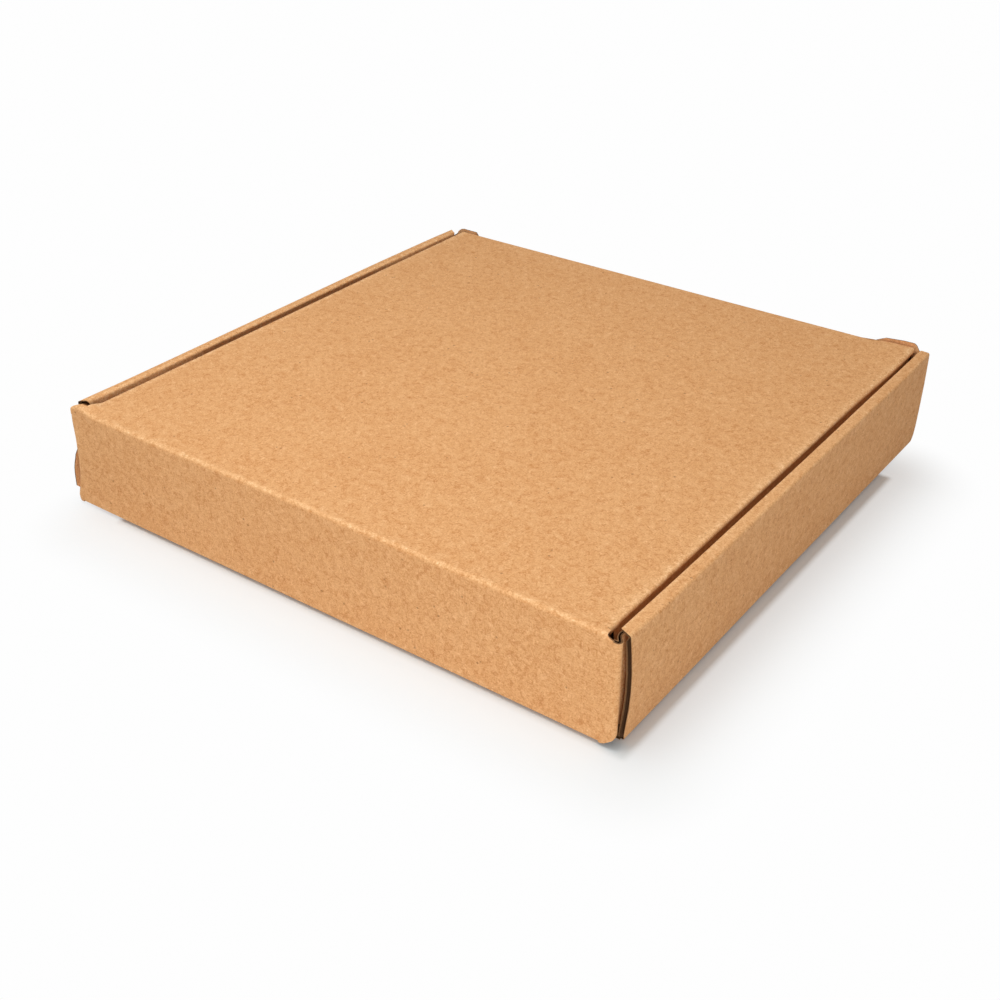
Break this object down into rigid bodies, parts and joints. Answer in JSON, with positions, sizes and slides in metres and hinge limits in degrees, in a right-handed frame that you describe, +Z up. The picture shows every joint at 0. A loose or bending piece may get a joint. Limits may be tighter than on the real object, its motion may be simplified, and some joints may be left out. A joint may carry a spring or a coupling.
{
  "type": "mailer box",
  "caption": "Flat square kraft corrugated mailer box: a tray with rolled side walls and a hinged lid whose wings and front flap tuck inside.",
  "frame": {"origin": "middle of the box's underside", "axes": "+X across the box, +Y towards the hinge wall, +Z up out of the lid"},
  "size_m": [0.319, 0.3084, 0.0568],
  "materials": {
    "kraft_board": "uncoated brown kraft liner, matte, with fine darker and lighter fibres"
  },
  "bodies": {
    "tray": {"tray": "kraft_board"},
    "lid": {"lid": "kraft_board"}
  },
  "joints": [
    {"name": "lid_hinge", "type": "hinge", "parent": "tray", "child": "lid", "pos_m": [0, 0.1542, 0.0532], "axis": [-1, 0, 0], "range_deg": [0, 190]}
  ]
}
